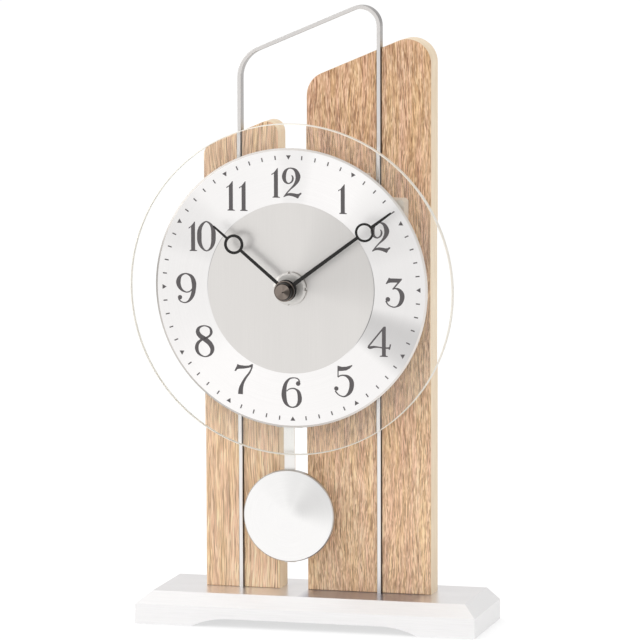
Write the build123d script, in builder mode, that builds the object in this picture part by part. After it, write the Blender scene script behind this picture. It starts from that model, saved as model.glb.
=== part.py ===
# Desk pendulum clock: two oak panels and a bent bar stand on a silver base and carry a
# glass disc with a round dial, a battery movement behind it and a free-swinging pendulum.
# Millimetres. X runs to the right, Y to the back, Z up.
# The origin is on the table, in the middle of the clock's overall width and depth.

import os
from math import atan, cos, degrees, pi, radians, sin, tan

from build123d import *

os.makedirs("parts", exist_ok=True)

# Base plinth
base_length = 187.5
base_depth = 61.0
base_height = 16.8
base_bevel_drop = 6.0
base_front_bevel = 9.3
base_end_bevel = 7.3
arch_half_length = 62.4
arch_half_flat = 42.0
arch_height = 4.6

# Wooden panels, given from the middle of the base
panel_thickness = 15.0
panel_set_back = 31.2
panel_outer_half = 62.6
panel_gap = 15.5
panel_gap_offset = -13.5
top_slope = 23.0
right_panel_height = 298.3
left_panel_height = 253.1
right_panel_corner = 13.0
left_panel_corner = 6.5
panel_edge_round = 0.6

# Bent flat bar, given from the middle of the base
bar_width = 2.0
bar_depth = 6.0
bar_edge_round = 0.3
bar_proud = 1.5
bar_right = 34.15
bar_window_web = 1.3
bar_height = 315.9
bar_left_bend = 16.8
bar_right_bend = 9.9
bar_socket_depth = 8.0
bar_groove_gap = 0.5
bar_socket_gap = 0.05
bar_plate_gap = 0.4

# Dial and glass, the dial's axis given from the middle of the base
dial_offset = -10.7
dial_height = 182.2
dial_diameter = 150.0
dial_thickness = 0.8
dial_centre_diameter = 91.5
dial_centre_thickness = 0.25
dial_edge_bevel = 1.1
dial_edge_rise = 0.5
glass_diameter = 178.0
glass_left = 0.6
glass_drop = 1.1
glass_thickness = 4.0
glass_edge_round = 0.5
glass_to_panel = 10.6
glass_rest_gap = 0.2

# Mounting plate between the glass and the panels, and the block above it
plate_left = 49.9
plate_right = 61.2
plate_top = 48.6
plate_bottom = 36.0
plate_corner = 2.0
tongue_width = 46.0
spacer_half_width = 40.6
spacer_height = 12.8

# Movement case, sized by the battery and the hour wheel
contact_room = 1.8
wheel_bay_gap = 2.26
case_corner = 4.0
case_depth = 16.4
case_front_depth = 8.4
case_wall = 1.2
case_window_gap = 1.2
shaft_seal_thickness = 0.5
shaft_seal_diameter = 16.0
shaft_seal_bore_gap = 0.1

# Threaded bush, nut and washer
bush_diameter = 8.0
bush_hole_gap = 0.2
bush_past_nut = 0.5
washer_diameter = 16.0
washer_thickness = 0.5
nut_diameter = 18.0
nut_thickness = 2.0
nut_edge_bevel = 1.2
nut_edge_rise = 0.4
nut_notch_width = 1.6
nut_notch_depth = 0.8
nut_notches = 4
nut_thread_gap = 0.05

# Concentric hand shafts
running_gap = 0.05
hour_pipe_diameter = 5.0
minute_arbor_diameter = 3.4
hour_hand_stand_off = 9.6
hand_spacing = 1.5
hand_thickness = 0.5

# Hands: bar, ring and pointer
hour_hand_angle = -50.0
minute_hand_angle = 53.5
hour_ring_reach = 37.3
hour_ring_outer = 10.6
hour_ring_inner = 7.7
hour_tip_reach = 52.0
hour_bar_width = 1.8
hour_neck_width = 1.55
hour_pointer_width = 1.4
hour_tip_width = 1.0
hour_hub_diameter = 11.6
hour_collar_diameter = 6.6
hour_collar_length = 2.0
minute_collar_diameter = 5.2
minute_collar_length = 1.0
minute_ring_reach = 54.3
minute_ring_outer = 10.2
minute_ring_inner = 7.8
minute_tip_reach = 72.2
minute_bar_width = 2.2
minute_neck_width = 1.65
minute_pointer_width = 1.9
minute_tip_width = 1.1
minute_hub_diameter = 10.4

# Hand cap
cap_base_diameter = 11.2
cap_rim = 1.0
cap_neck_diameter = 10.2
cap_face_diameter = 8.2
cap_face_bevel = 0.3
cap_height = 4.7
cap_bore_depth = 2.6
cap_dish = 0.4

# Motion work: 12 to 1 between the minute arbor and the hour pipe
cannon_teeth = 12
minute_wheel_teeth = 36
minute_pinion_teeth = 10
hour_wheel_teeth = 40
wheel_spacing = 10.0
wheel_direction = 135.0
tooth_half_share = 0.2
tooth_tip_share = 0.85
tooth_root_share = 1.25
pressure_angle = 20.0
wheel_face_width = 1.2
pinion_overlap = 0.2
front_wheel_gap = 0.6
wheel_layer_gap = 0.7
wheel_post_diameter = 1.6
post_past_wheel = 0.4
arbor_boss_diameter = 7.0
arbor_boss_depth = 3.4
arbor_end_gap = 0.4

# Setting knob
knob_diameter = 11.0
knob_height = 3.4
knob_stand_off = 0.4
knob_shaft_diameter = 3.0
knob_boss_diameter = 6.4
knob_flutes = 10
knob_flute_diameter = 1.8

# Sealed drive unit with motor and reduction wheels, and its circuit board
drive_depth = 9.0
drive_wheel_gap = 1.66
drive_wall_gap = 2.8
drive_end_gap = 2.7
drive_corner = 1.5
drive_coil_diameter = 6.4
drive_coil_length = 20.0
board_thickness = 1.0

# Battery and its contacts
battery_diameter = 14.2
battery_length = 48.6
battery_nub_diameter = 5.2
battery_nub_height = 1.4
battery_shoulder = 0.8
battery_gap = 0.4
contact_thickness = 0.4
contact_width = 8.0
contact_height = 10.6
contact_bow = 1.1

# Pendulum, its heights given from its pivot
pendulum_length = 86.0
pendulum_swing = 7.0
hanger_width = 14.0
hanger_thickness = 2.4
hanger_length = 38.3
hanger_past_plate = 8.0
hanger_head_diameter = 9.0
hanger_swing_gap = 1.0
hanger_neck_width = 9.0
hanger_taper = 14.0
pivot_post_diameter = 2.0
pivot_clip_diameter = 5.0
pivot_clip_thickness = 0.6
pocket_back_wall = 3.0
pocket_head_gap = 1.2
pocket_web = 2.8
strip_width = 5.8
strip_thickness = 1.0
strip_top_gap = 4.0
strip_past_bob = 0.7
bob_diameter = 50.0
bob_thickness = 3.0
bob_edge_bevel = 0.5
clip_width = 16.0
clip_height = 9.0
clip_thickness = 1.6
clip_gap = 0.1
magnet_diameter = 8.0
magnet_thickness = 1.6
magnet_past_plate = 3.8
magnet_proud = 0.7
magnet_gap = 0.1
coil_diameter = 13.0
coil_bore = 5.0
coil_thickness = 4.0
coil_board_width = 13.0
coil_board_height = 26.0

# Screws
screw_shank = 3.6
screw_gap = 0.1
base_screw_head = 7.0
base_screw_head_height = 2.2
base_screw_seat = 8.2
base_screw_bite = 16.0
base_screw_left = -34.0
base_screw_spread = 6.5
base_screw_right = 16.0
base_screw_right_spread = 14.0
plate_screw_head = 7.0
plate_screw_bite = 9.0
plate_screw_inset = 6.5
plate_screw_top_inset = 8.0
plate_screw_bottom_inset = 13.0

overrun = 1.0

# Places worked out from the sizes above
glass_radius = glass_diameter / 2
base_x = (glass_radius + glass_left - dial_offset - base_length / 2) / 2
base_front_y = -base_depth / 2
base_top = base_height
panel_front_y = base_front_y + panel_set_back
panel_back_y = panel_front_y + panel_thickness
glass_back_y = panel_front_y - glass_to_panel
glass_front_y = glass_back_y - glass_thickness
dial_front_y = glass_front_y - dial_thickness
centre_front_y = dial_front_y - dial_centre_thickness
dial_x = base_x + dial_offset
dial_z = dial_height
gap_x = base_x + panel_gap_offset
bar_front_y = panel_front_y - bar_proud
bar_y = bar_front_y + bar_depth / 2
case_front_y = glass_back_y + shaft_seal_thickness
case_split_y = case_front_y + case_front_depth
case_back_y = case_front_y + case_depth
hour_module = 2 * wheel_spacing / (minute_pinion_teeth + hour_wheel_teeth)
hour_wheel_radius = hour_module * (hour_wheel_teeth / 2 + tooth_tip_share)
battery_reach = battery_length + battery_nub_height
bay_width = battery_reach + 2 * contact_room
bay_height = battery_diameter + 2 * battery_gap
bay_top = dial_z - hour_wheel_radius - wheel_bay_gap - case_wall
bay_low = bay_top - bay_height
case_width = bay_width + 2 * case_wall
case_height = 2 * (dial_z - bay_low + case_wall)
inner_height = case_height - 2 * case_wall
window_width = case_width + 2 * case_window_gap
window_height = case_height + 2 * case_window_gap
bar_left = dial_offset - window_width / 2 - bar_window_web - bar_groove_gap - bar_width / 2
slope = tan(radians(top_slope))
pocket_top = dial_z - window_height / 2 - pocket_web
pivot_z = pocket_top - pocket_head_gap - hanger_head_diameter / 2
hanger_end_z = pivot_z - hanger_length
tongue_z = hanger_end_z + hanger_past_plate
magnet_z = tongue_z + magnet_past_plate + magnet_diameter / 2
bob_z = pivot_z - pendulum_length


def front_plane(y, x=0, z=0):
    """Plane seen from the front at depth y; a positive extrusion comes forward."""
    return Plane(origin=(x, y, z), x_dir=(1, 0, 0), z_dir=(0, -1, 0))


def hand_plane(y, angle):
    """Front plane on the dial's axis, turned clockwise from twelve by the angle."""
    turn = radians(angle)
    return Plane(origin=(dial_x, y, dial_z), x_dir=(cos(turn), 0, -sin(turn)), z_dir=(0, -1, 0))


def save(piece, name):
    piece.part.label = name
    export_step(piece.part, f"parts/{name}.step")


# Base plinth: straight lower body, bevelled shoulder at the front and both ends
bevel_z = base_top - base_bevel_drop
base_screw_places = [
    (base_x + base_screw_left - base_screw_spread, panel_front_y + panel_thickness / 2),
    (base_x + base_screw_left + base_screw_spread, panel_front_y + panel_thickness / 2),
    (base_x + base_screw_right - base_screw_right_spread, panel_front_y + panel_thickness / 2),
    (base_x + base_screw_right + base_screw_right_spread, panel_front_y + panel_thickness / 2),
]
with BuildPart() as base:
    with BuildSketch(Plane((base_x, 0, 0))):
        Rectangle(base_length, base_depth)
    extrude(amount=bevel_z)
    with BuildSketch(Plane((base_x, 0, bevel_z))):
        Rectangle(base_length, base_depth)
    with BuildSketch(Plane((base_x, base_front_bevel / 2, base_top))):
        Rectangle(base_length - 2 * base_end_bevel, base_depth - base_front_bevel)
    loft(ruled=True)
    with BuildSketch(front_plane(base_depth, base_x)):
        with BuildLine():
            Line((-arch_half_flat, arch_height), (arch_half_flat, arch_height))
            TangentArc((arch_half_flat, arch_height), (arch_half_length, 0), tangent=(1, 0))
            Line((arch_half_length, 0), (-arch_half_length, 0))
            TangentArc((-arch_half_flat, arch_height), (-arch_half_length, 0), tangent=(-1, 0))
        make_face()
    extrude(amount=2 * base_depth, mode=Mode.SUBTRACT)
    with BuildSketch(Plane.XY):
        with Locations(*base_screw_places):
            Circle(screw_shank / 2 + screw_gap)
    extrude(amount=base_height, mode=Mode.SUBTRACT)
    with BuildSketch(Plane.XY):
        with Locations(*base_screw_places):
            Circle(base_screw_head / 2 + screw_gap)
    extrude(amount=base_screw_seat, mode=Mode.SUBTRACT)
    with BuildSketch(Plane.XY.offset(base_top)):
        with Locations((base_x + bar_left, bar_y), (base_x + bar_right, bar_y)):
            Rectangle(bar_width + 2 * bar_socket_gap, bar_depth + 2 * bar_socket_gap)
    extrude(amount=-bar_socket_depth, mode=Mode.SUBTRACT)
save(base, "base")


def plate_screw_places():
    """Centres of the plate's screws, seen from the front."""
    left = dial_x - plate_left + plate_screw_inset
    right = dial_x + plate_right - plate_screw_inset
    high = dial_z + plate_top - plate_screw_top_inset
    low = dial_z - plate_bottom + plate_screw_bottom_inset
    return [(x, z) for x in (left, right) for z in (low, high)]


def panel(left, right, crest_height, corner, screws):
    """A panel with a sloping, rounded top, a bar groove, a movement window and screw holes.

    The slope is set so that the rounded upper corner crests at crest_height above the base."""
    half_turn = radians(90 - top_slope) / 2
    lost = corner * (1 / tan(half_turn) - 1)
    high = base_top + crest_height + lost
    low = high - (right - left) * slope
    with BuildPart() as body:
        with BuildSketch(front_plane(panel_back_y)) as outline:
            with BuildLine():
                Polyline((left, base_top), (right, base_top), (right, high), (left, low), close=True)
            make_face()
            fillet(outline.vertices().sort_by(Axis.Y)[-2:], corner)
        extrude(amount=panel_thickness)
        fillet(body.faces().sort_by(Axis.Y)[0].edges(), panel_edge_round)
        with BuildSketch(Plane((0, 0, base_top))):
            with Locations((base_x + bar_left, bar_y), (base_x + bar_right, bar_y)):
                Rectangle(bar_width + 2 * bar_groove_gap, bar_depth + 2 * bar_groove_gap)
        extrude(amount=high, mode=Mode.SUBTRACT)
        with BuildSketch(front_plane(panel_back_y, dial_x, dial_z)):
            Rectangle(window_width, window_height)
        extrude(amount=panel_thickness, mode=Mode.SUBTRACT)
        with BuildSketch(front_plane(panel_front_y)):
            with Locations(*plate_screw_places()):
                Circle(screw_shank / 2 + screw_gap)
        extrude(amount=-plate_screw_bite, mode=Mode.SUBTRACT)
        with BuildSketch(Plane.XY.offset(base_top)):
            with Locations(*screws):
                Circle(screw_shank / 2 + screw_gap)
        extrude(amount=base_screw_bite, mode=Mode.SUBTRACT)
    return body


left_panel = panel(
    base_x - panel_outer_half,
    gap_x - panel_gap / 2,
    left_panel_height,
    left_panel_corner,
    base_screw_places[:2],
)
save(left_panel, "left_panel")
right_panel = panel(
    gap_x + panel_gap / 2,
    base_x + panel_outer_half,
    right_panel_height,
    right_panel_corner,
    base_screw_places[2:],
)
save(right_panel, "right_panel")

# Bent bar: up from the base in the panels' grooves, over the top at the panels' slope
bar_foot = base_top - bar_socket_depth
bar_crest = base_top + bar_height - bar_width / 2
half_bend = radians(90 - top_slope) / 2
bar_high = bar_crest + bar_right_bend * (1 / tan(half_bend) - 1)
bar_low = bar_high - (bar_right - bar_left) * slope
with BuildPart() as wire_frame:
    with BuildLine(front_plane(bar_y, base_x)) as bar_path:
        FilletPolyline(
            (bar_left, bar_foot),
            (bar_left, bar_low),
            (bar_right, bar_high),
            (bar_right, bar_foot),
            radius=[bar_left_bend, bar_right_bend],
        )
    with BuildSketch(Plane((base_x + bar_left, bar_y, bar_foot))):
        RectangleRounded(bar_width, bar_depth, bar_edge_round)
    sweep(path=bar_path.line)
save(wire_frame, "wire_frame")

# Base screws: pan heads under the base, shanks up into the panels
with BuildPart() as base_screws:
    with BuildSketch(Plane.XY.offset(base_screw_seat - base_screw_head_height)):
        with Locations(*base_screw_places):
            Circle(base_screw_head / 2)
    extrude(amount=base_screw_head_height)
    with BuildSketch(Plane.XY.offset(base_screw_seat)):
        with Locations(*base_screw_places):
            Circle(screw_shank / 2)
    extrude(amount=base_top + base_screw_bite - base_screw_seat)
save(base_screws, "base_screws")

# Mounting plate: carries the glass, with the movement window and the pendulum's pocket
plate_width = plate_left + plate_right
plate_x = dial_x + (plate_right - plate_left) / 2
plate_z = dial_z + (plate_top - plate_bottom) / 2
plate_depth = glass_to_panel - glass_rest_gap
plate_front_y = panel_front_y - plate_depth
pocket_back_y = panel_front_y - pocket_back_wall
swing_reach = (pivot_z - tongue_z) * tan(radians(pendulum_swing))
pocket_half = hanger_width / 2 / cos(radians(pendulum_swing)) + swing_reach + hanger_swing_gap
with BuildPart() as mounting_plate:
    with BuildSketch(front_plane(panel_front_y)):
        with Locations((plate_x, plate_z)):
            RectangleRounded(plate_width, plate_top + plate_bottom, plate_corner)
        with Locations((gap_x, (dial_z + tongue_z) / 2)):
            Rectangle(tongue_width, dial_z - tongue_z)
    extrude(amount=plate_depth)
    with BuildSketch(front_plane(panel_front_y, dial_x, dial_z)):
        Rectangle(window_width, window_height)
    extrude(amount=glass_to_panel, mode=Mode.SUBTRACT)
    with BuildSketch(front_plane(pocket_back_y, gap_x)):
        with Locations((0, (pocket_top + tongue_z - overrun) / 2)):
            Rectangle(2 * pocket_half, pocket_top - tongue_z + overrun)
    extrude(amount=glass_to_panel, mode=Mode.SUBTRACT)
    with BuildSketch(front_plane(panel_front_y, gap_x, pivot_z)):
        Circle(pivot_post_diameter / 2)
    extrude(amount=pocket_back_wall, mode=Mode.SUBTRACT)
    with BuildSketch(Plane.XY.offset(tongue_z)):
        with Locations((base_x + bar_left, bar_y), (base_x + bar_right, bar_y)):
            Rectangle(bar_width + 2 * bar_plate_gap, bar_depth + 2 * bar_plate_gap)
    extrude(amount=dial_z, mode=Mode.SUBTRACT)
    with Locations(Location(front_plane(plate_front_y))):
        with Locations(*[(x, z, 0) for x, z in plate_screw_places()]):
            CounterSinkHole(screw_shank / 2 + screw_gap, plate_screw_head / 2 + screw_gap, glass_to_panel)
save(mounting_plate, "mounting_plate")

# Spacer block above the plate, so that the glass is backed near its top
with BuildPart() as upper_spacer:
    with BuildSketch(front_plane(panel_front_y, dial_x, dial_z + plate_top)):
        with Locations((0, spacer_height / 2)):
            Rectangle(2 * spacer_half_width, spacer_height)
    extrude(amount=plate_depth)
    with BuildSketch(Plane.XY.offset(dial_z + plate_top)):
        with Locations((base_x + bar_left, bar_y), (base_x + bar_right, bar_y)):
            Rectangle(bar_width + 2 * bar_plate_gap, bar_depth + 2 * bar_plate_gap)
    extrude(amount=spacer_height, mode=Mode.SUBTRACT)
save(upper_spacer, "upper_spacer")

# Plate screws: countersunk from the front, behind the dial
with BuildPart() as plate_screws:
    head_depth = (plate_screw_head - screw_shank) / 2
    for place in plate_screw_places():
        with BuildSketch(Plane((place[0], plate_front_y, place[1]))):
            with BuildLine():
                Polyline(
                    (0, 0),
                    (plate_screw_head / 2, 0),
                    (screw_shank / 2, head_depth),
                    (screw_shank / 2, plate_depth + plate_screw_bite),
                    (0, plate_depth + plate_screw_bite),
                    close=True,
                )
            make_face()
        revolve(axis=Axis((place[0], 0, place[1]), (0, 1, 0)))
save(plate_screws, "plate_screws")

# Glass disc with a ground edge
bush_hole_radius = bush_diameter / 2 + bush_hole_gap
with BuildPart() as glass_disc:
    with BuildSketch(front_plane(glass_back_y, dial_x, dial_z)):
        with Locations((-glass_left, -glass_drop)):
            Circle(glass_radius)
        Circle(bush_hole_radius, mode=Mode.SUBTRACT)
    extrude(amount=glass_thickness)
    chamfer(glass_disc.edges().filter_by(GeomType.CIRCLE).group_by(SortBy.RADIUS)[-1], glass_edge_round)
save(glass_disc, "glass_disc")

# Dial plate and the thin brushed disc on its centre
with BuildPart() as dial:
    with BuildSketch(front_plane(glass_front_y, dial_x, dial_z)):
        Circle(dial_diameter / 2)
    extrude(amount=dial_thickness - dial_edge_rise)
    with BuildSketch(front_plane(glass_front_y - dial_thickness + dial_edge_rise, dial_x, dial_z)):
        Circle(dial_diameter / 2)
    extrude(amount=dial_edge_rise, taper=degrees(atan(dial_edge_bevel / dial_edge_rise)))
    with BuildSketch(front_plane(glass_front_y, dial_x, dial_z)):
        Circle(bush_hole_radius)
    extrude(amount=dial_thickness, mode=Mode.SUBTRACT)
save(dial, "dial")
with BuildPart() as dial_centre:
    with BuildSketch(front_plane(dial_front_y, dial_x, dial_z)):
        Circle(dial_centre_diameter / 2)
        Circle(bush_hole_radius, mode=Mode.SUBTRACT)
    extrude(amount=dial_centre_thickness)
save(dial_centre, "dial_centre")

# Rubber seal behind the glass, washer and notched nut in front of the dial
with BuildPart() as shaft_seal:
    with BuildSketch(front_plane(case_front_y, dial_x, dial_z)):
        Circle(shaft_seal_diameter / 2)
        Circle(bush_diameter / 2 + shaft_seal_bore_gap, mode=Mode.SUBTRACT)
    extrude(amount=shaft_seal_thickness)
save(shaft_seal, "shaft_seal")
with BuildPart() as front_washer:
    with BuildSketch(front_plane(centre_front_y, dial_x, dial_z)):
        Circle(washer_diameter / 2)
        Circle(bush_hole_radius, mode=Mode.SUBTRACT)
    extrude(amount=washer_thickness)
save(front_washer, "front_washer")
nut_back_y = centre_front_y - washer_thickness
with BuildPart() as fixing_nut:
    with BuildSketch(front_plane(nut_back_y, dial_x, dial_z)):
        Circle(nut_diameter / 2)
    extrude(amount=nut_thickness - nut_edge_rise)
    with BuildSketch(front_plane(nut_back_y - nut_thickness + nut_edge_rise, dial_x, dial_z)):
        Circle(nut_diameter / 2)
    extrude(amount=nut_edge_rise, taper=degrees(atan(nut_edge_bevel / nut_edge_rise)))
    with BuildSketch(front_plane(nut_back_y, dial_x, dial_z)):
        Circle(bush_diameter / 2 + nut_thread_gap)
        with PolarLocations(nut_diameter / 2, nut_notches):
            Rectangle(2 * nut_notch_depth, nut_notch_width)
    extrude(amount=nut_thickness, mode=Mode.SUBTRACT)
save(fixing_nut, "fixing_nut")
bush_end_y = nut_back_y - nut_thickness - bush_past_nut

# Battery bay inside the case, along the bottom
battery_z = bay_low + bay_height / 2
battery_y = case_front_y + case_wall + battery_gap + battery_diameter / 2

# Motion-work layers, from the front wall backwards
hour_wheel_front = case_front_y + case_wall + front_wheel_gap
hour_wheel_back = hour_wheel_front + wheel_face_width
minute_wheel_front = hour_wheel_back + wheel_layer_gap
minute_wheel_back = minute_wheel_front + wheel_face_width
drive_angle = radians(wheel_direction)
minute_wheel_x = dial_x + wheel_spacing * cos(drive_angle)
minute_wheel_z = dial_z + wheel_spacing * sin(drive_angle)
knob_x = dial_x + 2 * wheel_spacing * cos(drive_angle)
knob_z = dial_z + 2 * wheel_spacing * sin(drive_angle)
minute_module = 2 * wheel_spacing / (cannon_teeth + minute_wheel_teeth)

# Front cover: tray with the threaded bush and the battery bay's wall
inner_corner = case_corner - case_wall
front_inner_y = case_front_y + case_wall
with BuildPart() as case_front:
    with BuildSketch(front_plane(case_split_y, dial_x, dial_z)):
        RectangleRounded(case_width, case_height, case_corner)
    extrude(amount=case_front_depth)
    with BuildSketch(front_plane(case_split_y, dial_x, dial_z)):
        RectangleRounded(bay_width, inner_height, inner_corner)
    extrude(amount=case_front_depth - case_wall, mode=Mode.SUBTRACT)
    with BuildSketch(front_plane(case_split_y, dial_x, bay_top)):
        Rectangle(bay_width, case_wall, align=(Align.CENTER, Align.MIN))
    extrude(amount=case_front_depth - case_wall)
    with BuildSketch(front_plane(case_front_y, dial_x, dial_z)):
        Circle(bush_diameter / 2)
    extrude(amount=case_front_y - bush_end_y)
    with BuildSketch(front_plane(front_inner_y, dial_x, dial_z)):
        Circle(hour_pipe_diameter / 2 + running_gap)
    extrude(amount=front_inner_y - bush_end_y, mode=Mode.SUBTRACT)
    with BuildSketch(front_plane(front_inner_y, minute_wheel_x, minute_wheel_z)):
        Circle(wheel_post_diameter / 2)
    extrude(amount=case_wall / 2, mode=Mode.SUBTRACT)
save(case_front, "case_front")

# Back cover: tray with the open battery bay, the arbor's boss and the knob's bearing
back_inner_y = case_back_y - case_wall
with BuildPart() as case_back:
    with BuildSketch(front_plane(case_back_y, dial_x, dial_z)):
        RectangleRounded(case_width, case_height, case_corner)
    extrude(amount=case_depth - case_front_depth)
    with BuildSketch(front_plane(back_inner_y, dial_x, dial_z)):
        RectangleRounded(bay_width, inner_height, inner_corner)
    extrude(amount=case_depth - case_front_depth - case_wall, mode=Mode.SUBTRACT)
    with BuildSketch(front_plane(back_inner_y, dial_x, bay_top)):
        Rectangle(bay_width, case_wall, align=(Align.CENTER, Align.MIN))
    extrude(amount=case_depth - case_front_depth - case_wall)
    with BuildSketch(front_plane(case_back_y, dial_x, bay_low)):
        Rectangle(battery_reach + 2 * battery_gap, bay_height, align=(Align.CENTER, Align.MIN))
    extrude(amount=case_wall, mode=Mode.SUBTRACT)
    with BuildSketch(front_plane(back_inner_y)):
        with Locations((dial_x, dial_z)):
            Circle(arbor_boss_diameter / 2)
        with Locations((knob_x, knob_z)):
            Circle(knob_boss_diameter / 2)
    extrude(amount=arbor_boss_depth)
    with BuildSketch(front_plane(back_inner_y, dial_x, dial_z)):
        Circle(minute_arbor_diameter / 2 + running_gap)
    extrude(amount=arbor_boss_depth, mode=Mode.SUBTRACT)
    with BuildSketch(front_plane(case_back_y, knob_x, knob_z)):
        Circle(knob_shaft_diameter / 2 + running_gap)
    extrude(amount=case_wall + arbor_boss_depth, mode=Mode.SUBTRACT)
save(case_back, "case_back")


def gear_face(teeth, module, tooth_angle):
    """Flat outline of a spur gear, with the middle of one tooth at tooth_angle."""
    pitch_radius = module * teeth / 2
    half_tooth = tooth_half_share * pi * module
    tip = tooth_tip_share * module
    root = tooth_root_share * module
    flank = tan(radians(pressure_angle))
    corners = []
    for tooth in range(teeth):
        middle = tooth_angle + 2 * pi * tooth / teeth
        for rise, side in ((-root, -1), (tip, -1), (tip, 1), (-root, 1)):
            radius = pitch_radius + rise
            turn = middle + side * (half_tooth - rise * flank) / radius
            corners.append((radius * cos(turn), radius * sin(turn)))
    with BuildSketch() as outline:
        with BuildLine():
            Polyline(*corners, close=True)
        make_face()
    return outline.sketch


# Teeth set in mesh at rest along the line through the three wheels' centres
hour_teeth = gear_face(hour_wheel_teeth, hour_module, drive_angle)
cannon_pinion = gear_face(cannon_teeth, minute_module, drive_angle + pi / cannon_teeth)
minute_teeth = gear_face(minute_wheel_teeth, minute_module, drive_angle)
minute_pinion = gear_face(minute_pinion_teeth, hour_module, drive_angle + pi + pi / minute_pinion_teeth)
knob_pinion = gear_face(cannon_teeth, minute_module, drive_angle + pi + pi / cannon_teeth)

# Hands' depths in front of the dial
hour_hand_back_y = dial_front_y - hour_hand_stand_off
hour_hand_front_y = hour_hand_back_y - hand_thickness
minute_hand_back_y = hour_hand_front_y - hand_spacing
minute_hand_front_y = minute_hand_back_y - hand_thickness

# Hour wheel with its pipe
with BuildPart() as hour_wheel:
    with BuildSketch(front_plane(hour_wheel_back, dial_x, dial_z)):
        add(hour_teeth)
    extrude(amount=wheel_face_width)
    with BuildSketch(front_plane(hour_wheel_front, dial_x, dial_z)):
        Circle(hour_pipe_diameter / 2)
    extrude(amount=hour_wheel_front - hour_hand_front_y)
    with BuildSketch(front_plane(hour_wheel_back, dial_x, dial_z)):
        Circle(minute_arbor_diameter / 2 + running_gap)
    extrude(amount=hour_wheel_back - hour_hand_front_y, mode=Mode.SUBTRACT)
save(hour_wheel, "hour_wheel")

# Minute arbor with its cannon pinion, from the rear boss to inside the cap
arbor_back_y = back_inner_y - arbor_end_gap
arbor_front_y = minute_hand_front_y - cap_bore_depth
pinion_back = minute_wheel_back + pinion_overlap
with BuildPart() as minute_arbor:
    with BuildSketch(front_plane(arbor_back_y, dial_x, dial_z)):
        Circle(minute_arbor_diameter / 2)
    extrude(amount=arbor_back_y - arbor_front_y)
    with BuildSketch(front_plane(pinion_back, dial_x, dial_z)):
        add(cannon_pinion)
    extrude(amount=wheel_face_width + 2 * pinion_overlap)
save(minute_arbor, "minute_arbor")

# Minute wheel and its pinion, on a post in the front cover
with BuildPart() as minute_wheel:
    with BuildSketch(front_plane(minute_wheel_back, minute_wheel_x, minute_wheel_z)):
        add(minute_teeth)
    extrude(amount=wheel_face_width)
    with BuildSketch(front_plane(minute_wheel_front, minute_wheel_x, minute_wheel_z)):
        add(minute_pinion)
    extrude(amount=minute_wheel_front - hour_wheel_front + pinion_overlap)
    with BuildSketch(front_plane(minute_wheel_back, minute_wheel_x, minute_wheel_z)):
        Circle(wheel_post_diameter / 2 + running_gap)
    extrude(amount=case_front_depth, mode=Mode.SUBTRACT)
save(minute_wheel, "minute_wheel")
post_foot_y = front_inner_y - case_wall / 2
with BuildPart() as wheel_post:
    with BuildSketch(front_plane(minute_wheel_back + post_past_wheel, minute_wheel_x, minute_wheel_z)):
        Circle(wheel_post_diameter / 2)
    extrude(amount=minute_wheel_back + post_past_wheel - post_foot_y)
save(wheel_post, "wheel_post")

# Setting knob: fluted disc outside the back cover, pinion in mesh with the minute wheel
knob_front_y = case_back_y + knob_stand_off
with BuildPart() as set_knob:
    with BuildSketch(front_plane(knob_front_y + knob_height, knob_x, knob_z)):
        Circle(knob_diameter / 2)
        with PolarLocations(knob_diameter / 2, knob_flutes):
            Circle(knob_flute_diameter / 2, mode=Mode.SUBTRACT)
    extrude(amount=knob_height)
    with BuildSketch(front_plane(knob_front_y, knob_x, knob_z)):
        Circle(knob_shaft_diameter / 2)
    extrude(amount=knob_front_y - minute_wheel_front + pinion_overlap)
    with BuildSketch(front_plane(pinion_back, knob_x, knob_z)):
        add(knob_pinion)
    extrude(amount=wheel_face_width + 2 * pinion_overlap)
save(set_knob, "set_knob")

# Sealed drive unit beside the motion work, with its coil, and the circuit board behind it
drive_low = bay_top + case_wall + drive_end_gap
drive_high = dial_z + inner_height / 2 - drive_end_gap
drive_left = dial_x + hour_wheel_radius + drive_wheel_gap
drive_right = dial_x + bay_width / 2 - drive_wall_gap
drive_width = drive_right - drive_left
drive_height = drive_high - drive_low
drive_x = (drive_left + drive_right) / 2
drive_z = (drive_low + drive_high) / 2
drive_back_y = front_inner_y + drive_depth
with BuildPart() as drive_unit:
    with BuildSketch(front_plane(drive_back_y, drive_x, drive_z)):
        RectangleRounded(drive_width, drive_height, drive_corner)
    extrude(amount=drive_depth)
    with BuildSketch(front_plane(drive_back_y, drive_x, drive_z)):
        Rectangle(drive_coil_diameter + drive_corner, drive_coil_length + drive_corner)
    extrude(amount=drive_coil_diameter, mode=Mode.SUBTRACT)
save(drive_unit, "drive_unit")
with BuildPart() as drive_coil:
    with BuildSketch(
        Plane((drive_x, drive_back_y - drive_coil_diameter / 2, drive_z - drive_coil_length / 2))
    ):
        Circle(drive_coil_diameter / 2)
    extrude(amount=drive_coil_length)
save(drive_coil, "drive_coil")
with BuildPart() as circuit_board:
    with BuildSketch(front_plane(drive_back_y + board_thickness, drive_x, drive_z)):
        Rectangle(drive_width, drive_height)
    extrude(amount=board_thickness)
save(circuit_board, "circuit_board")

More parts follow.
